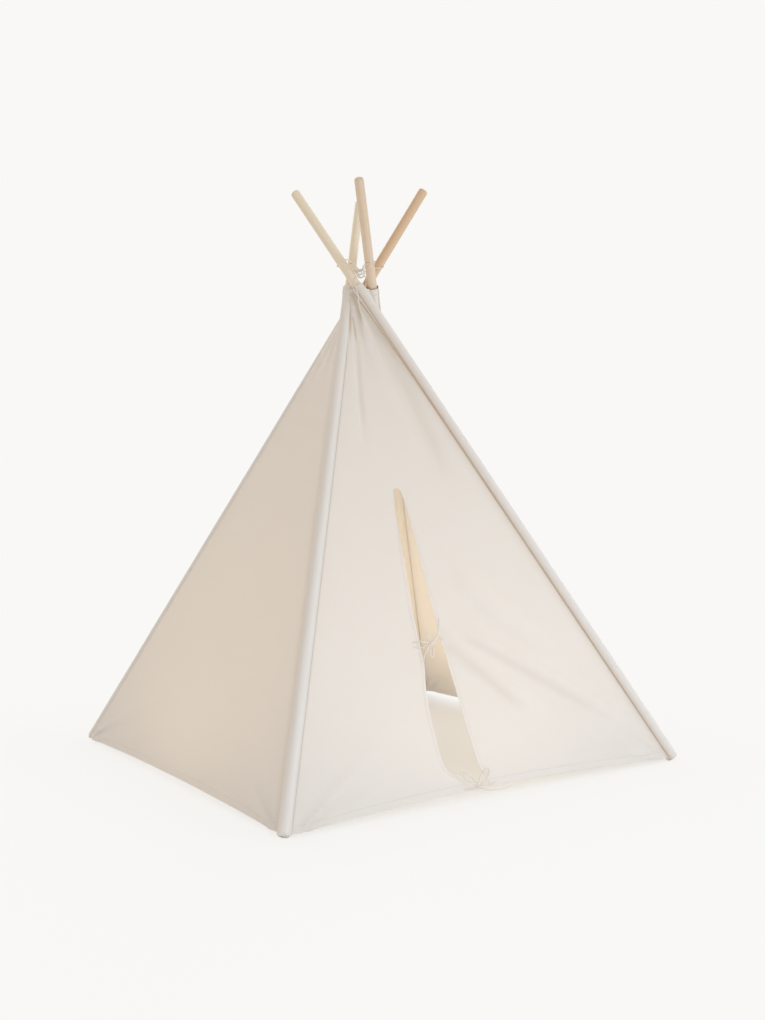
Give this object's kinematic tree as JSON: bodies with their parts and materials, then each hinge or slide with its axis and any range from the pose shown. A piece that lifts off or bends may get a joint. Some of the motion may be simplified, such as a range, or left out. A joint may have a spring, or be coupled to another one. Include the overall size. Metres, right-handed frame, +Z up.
{
  "type": "kids teepee",
  "caption": "Play tent with laced wooden corner poles in canvas sleeves, sloping cotton walls and a slit door closed by tie bows.",
  "frame": {"origin": "on the floor, under the point where the poles cross, in the middle of the square of the pole feet", "axes": "+Z up, -Y out through the door, +X to the right of someone who looks in at the door"},
  "size_m": [1.172, 1.181, 1.5099],
  "materials": {
    "pole_wood": "sanded pale softwood, bare",
    "ferrule": "plain tube, hidden in the sleeve",
    "canvas": "plain weave cotton canvas, natural white",
    "cord": "soft cotton cord, natural white"
  },
  "bodies": {
    "lashing": {"lashing_knot": "cord", "lace_through_front_left": "cord", "lace_through_front_right": "cord", "lace_through_back_right": "cord", "lace_through_back_left": "cord", "lace_outer_tail": "cord", "lace_inner_tail": "cord"},
    "front_left": {"front_left_lower_pole": "pole_wood", "front_left_upper_pole": "pole_wood", "front_left_ferrule": "ferrule", "front_left_sleeve": "canvas", "front_wall_at_front_left": "canvas", "left_wall_at_front_left": "canvas"},
    "front_right": {"front_right_lower_pole": "pole_wood", "front_right_upper_pole": "pole_wood", "front_right_ferrule": "ferrule", "front_right_sleeve": "canvas", "front_wall_at_front_right": "canvas", "right_wall_at_front_right": "canvas"},
    "back_right": {"back_right_lower_pole": "pole_wood", "back_right_upper_pole": "pole_wood", "back_right_ferrule": "ferrule", "back_right_sleeve": "canvas", "right_wall_at_back_right": "canvas", "back_wall_at_back_right": "canvas"},
    "back_left": {"back_left_lower_pole": "pole_wood", "back_left_upper_pole": "pole_wood", "back_left_ferrule": "ferrule", "back_left_sleeve": "canvas", "back_wall_at_back_left": "canvas", "left_wall_at_back_left": "canvas"},
    "door_left": {"left_door_flap": "canvas", "middle_bow_knot": "cord", "middle_bow_upper_loop": "cord", "middle_bow_lower_loop": "cord", "middle_tie_left": "cord", "middle_tie_left_return": "cord", "middle_bow_upper_tail": "cord", "middle_bow_hanging_tail": "cord", "bottom_bow_knot": "cord", "bottom_bow_left_loop": "cord", "bottom_bow_right_loop": "cord", "bottom_tie_left": "cord", "bottom_bow_long_tail": "cord"},
    "door_right": {"right_door_flap": "canvas", "middle_tie_right": "cord", "bottom_tie_right": "cord"}
  },
  "joints": [
    {"name": "fold_front_left", "type": "hinge", "parent": "lashing", "child": "front_left", "pos_m": [0.0069, 0.05489, 1.314], "axis": [-0.7345, 0.6786, 0], "range_deg": [-26, 0], "deforming": ["front_wall_at_front_left", "left_wall_at_front_left", "left_door_flap", "middle_bow_knot", "middle_bow_upper_loop", "middle_bow_lower_loop", "middle_tie_left", "middle_tie_left_return", "middle_bow_upper_tail", "middle_bow_hanging_tail", "bottom_bow_knot", "bottom_bow_left_loop", "bottom_bow_right_loop", "bottom_tie_left", "bottom_bow_long_tail", "lace_through_front_left", "lace_outer_tail", "lace_inner_tail"]},
    {"name": "fold_front_right", "type": "hinge", "parent": "lashing", "child": "front_right", "pos_m": [-0.05489, 0.0069, 1.314], "axis": [-0.6786, -0.7345, 0], "range_deg": [-26, 0], "deforming": ["front_wall_at_front_right", "right_wall_at_front_right", "right_door_flap", "middle_tie_right", "bottom_tie_right", "lace_through_front_right"]},
    {"name": "fold_back_right", "type": "hinge", "parent": "lashing", "child": "back_right", "pos_m": [-0.0069, -0.05489, 1.314], "axis": [0.7345, -0.6786, 0], "range_deg": [-26, 0], "deforming": ["right_wall_at_back_right", "back_wall_at_back_right", "lace_through_back_right"]},
    {"name": "fold_back_left", "type": "hinge", "parent": "lashing", "child": "back_left", "pos_m": [0.05489, -0.0069, 1.314], "axis": [0.6786, 0.7345, 0], "range_deg": [-26, 0], "deforming": ["back_wall_at_back_left", "left_wall_at_back_left", "lace_through_back_left"]},
    {"name": "door_left_opens", "type": "hinge", "parent": "front_left", "child": "door_left", "pos_m": [-0.385, -0.58432, 0.00931], "axis": [-0.3757, -0.3985, -0.8367], "range_deg": [0, 100]},
    {"name": "door_right_opens", "type": "hinge", "parent": "front_right", "child": "door_right", "pos_m": [0.3, -0.57817, 0.00931], "axis": [-0.4095, 0.3859, 0.8267], "range_deg": [0, 100]}
  ],
  "couplings": [
    {"joint": "fold_front_right", "follows": "fold_front_left", "ratio": 1},
    {"joint": "fold_back_right", "follows": "fold_front_left", "ratio": 1},
    {"joint": "fold_back_left", "follows": "fold_front_left", "ratio": 1}
  ]
}
